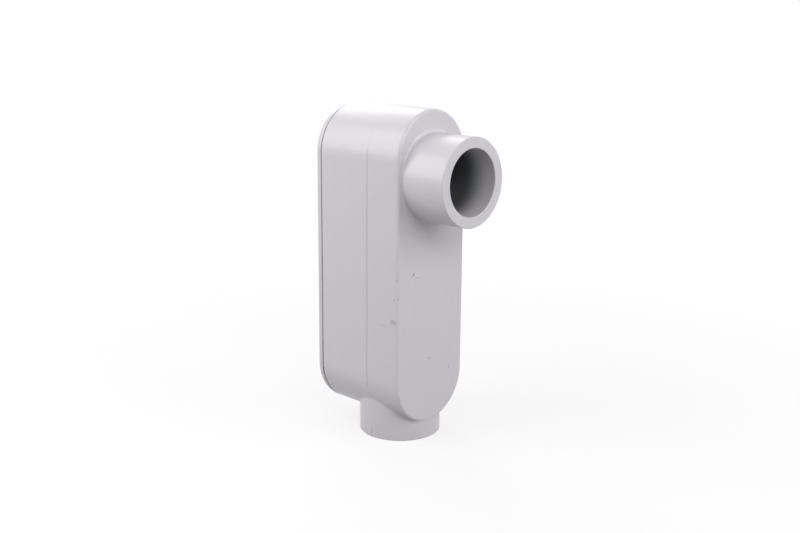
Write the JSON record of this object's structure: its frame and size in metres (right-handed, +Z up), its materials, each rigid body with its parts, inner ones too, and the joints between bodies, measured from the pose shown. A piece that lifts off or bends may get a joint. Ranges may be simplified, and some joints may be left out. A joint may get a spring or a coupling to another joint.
{
  "type": "conduit body",
  "caption": "Moulded PVC LB conduit body: a round-ended box with a back hub, an end hub and a flat gasketed cover held by two screws.",
  "frame": {"origin": "centre of the end hub's mouth, which is also what the fitting stands on", "axes": "+Z up along the end hub's axis and the length of the box, +X out along the back hub's axis, Y across the width"},
  "size_m": [0.0571, 0.032, 0.1106],
  "materials": {
    "pvc": "moulded light grey PVC, satin",
    "gasket_rubber": "matt black",
    "screw_steel": "plain stainless"
  },
  "bodies": {
    "housing": {"moulded_body": "pvc"},
    "lid": {"cover": "pvc", "gasket": "gasket_rubber"},
    "upper_screw": {"upper_cover_screw": "screw_steel"},
    "lower_screw": {"lower_cover_screw": "screw_steel"}
  },
  "joints": [
    {"name": "cover_lift", "type": "slide", "parent": "housing", "child": "lid", "axis": [-1, 0, 0], "range_m": [0, 0.0068]},
    {"name": "upper_screw_turn", "type": "hinge", "parent": "lid", "child": "upper_screw", "pos_m": [-0.02418, 0, 0.1046], "axis": [-1, 0, 0], "range_deg": [0, 3100]},
    {"name": "lower_screw_turn", "type": "hinge", "parent": "lid", "child": "lower_screw", "pos_m": [-0.02418, 0, 0.01185], "axis": [-1, 0, 0], "range_deg": [0, 3100]}
  ],
  "couplings": [
    {"joint": "upper_screw_turn", "follows": "cover_lift", "rad_per_m": 7915.8},
    {"joint": "lower_screw_turn", "follows": "cover_lift", "rad_per_m": 7915.8}
  ]
}
